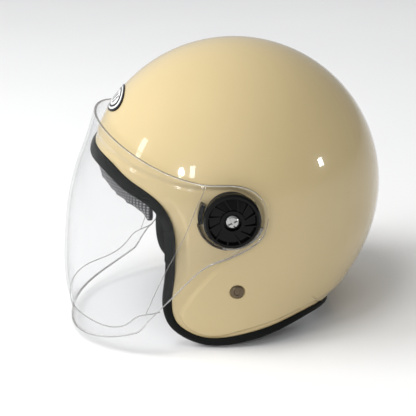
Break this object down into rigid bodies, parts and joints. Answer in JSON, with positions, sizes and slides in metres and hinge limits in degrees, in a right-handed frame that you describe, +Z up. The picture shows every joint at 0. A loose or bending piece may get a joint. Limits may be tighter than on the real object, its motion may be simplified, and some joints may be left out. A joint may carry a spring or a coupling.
{
  "type": "open face motorcycle helmet",
  "caption": "Open-face motorcycle helmet with a clear swing-up visor on side pivots, rubber edge trim, padded lining and a buckled chin strap.",
  "frame": {"origin": "centre of the bounding box, on the ground under the helmet", "axes": "+X to the wearer's left, -Y to the front, +Z up"},
  "size_m": [0.2574, 0.2949, 0.2511],
  "materials": {
    "cream_gloss": "high gloss cream paint on the shell",
    "black_rubber": "satin black rubber",
    "black_gloss": "gloss black moulding",
    "badge": "printed black and white badge",
    "foam": "black expanded foam",
    "mesh": "grey mesh lining fabric",
    "padding": "black lining fabric",
    "clear": "clear polycarbonate",
    "steel": "bright plated steel",
    "dull_steel": "zinc plated steel",
    "webbing": "black woven webbing",
    "black_matte": "matte black moulding",
    "red_tab": "red ribbon"
  },
  "bodies": {
    "helmet": {"outer_shell": "cream_gloss", "edge_trim": "black_rubber", "trim_sleeve": "black_rubber", "front_badge": "badge", "eps_liner": "foam", "crown_liner": "padding", "brow_pad": "mesh", "neck_roll": "padding", "cheek_pad_left": "padding", "cheek_pad_right": "padding", "pivot_base_left": "black_matte", "pivot_base_right": "black_matte", "pivot_cap_left": "black_gloss", "pivot_cap_right": "black_gloss", "pivot_screw_left": "steel", "pivot_screw_right": "steel", "pivot_nut_left": "dull_steel", "pivot_nut_right": "dull_steel", "strap_rivet_left": "dull_steel", "strap_rivet_right": "dull_steel", "rivet_washer_left": "dull_steel", "rivet_washer_right": "dull_steel"},
    "visor": {"visor": "clear"},
    "chin_strap": {"strap_anchor_left": "dull_steel", "strap_anchor_right": "dull_steel", "strap_left": "webbing", "strap_right": "webbing", "strap_sleeve_left": "padding", "strap_sleeve_right": "padding", "buckle_housing": "black_matte", "buckle_tongue": "steel", "lever_pin": "steel", "lever_spring": "steel"},
    "lever": {"buckle_lever": "black_matte", "pull_tab": "red_tab"}
  },
  "joints": [
    {"name": "visor_swing", "type": "hinge", "parent": "helmet", "child": "visor", "pos_m": [0, 0.0023, 0.127], "axis": [-1, 0, 0], "range_deg": [0, 65]},
    {"name": "strap_swing", "type": "hinge", "parent": "helmet", "child": "chin_strap", "pos_m": [0, 0.003, 0.0567], "axis": [1, 0, 0], "range_deg": [-10, 10]},
    {"name": "lever_release", "type": "hinge", "parent": "chin_strap", "child": "lever", "pos_m": [0.0215, 0.003, 0.0101], "axis": [0, -1, 0], "range_deg": [0, 40], "stiffness_Nm_per_rad": 0.05, "springref_deg": -11.46}
  ]
}
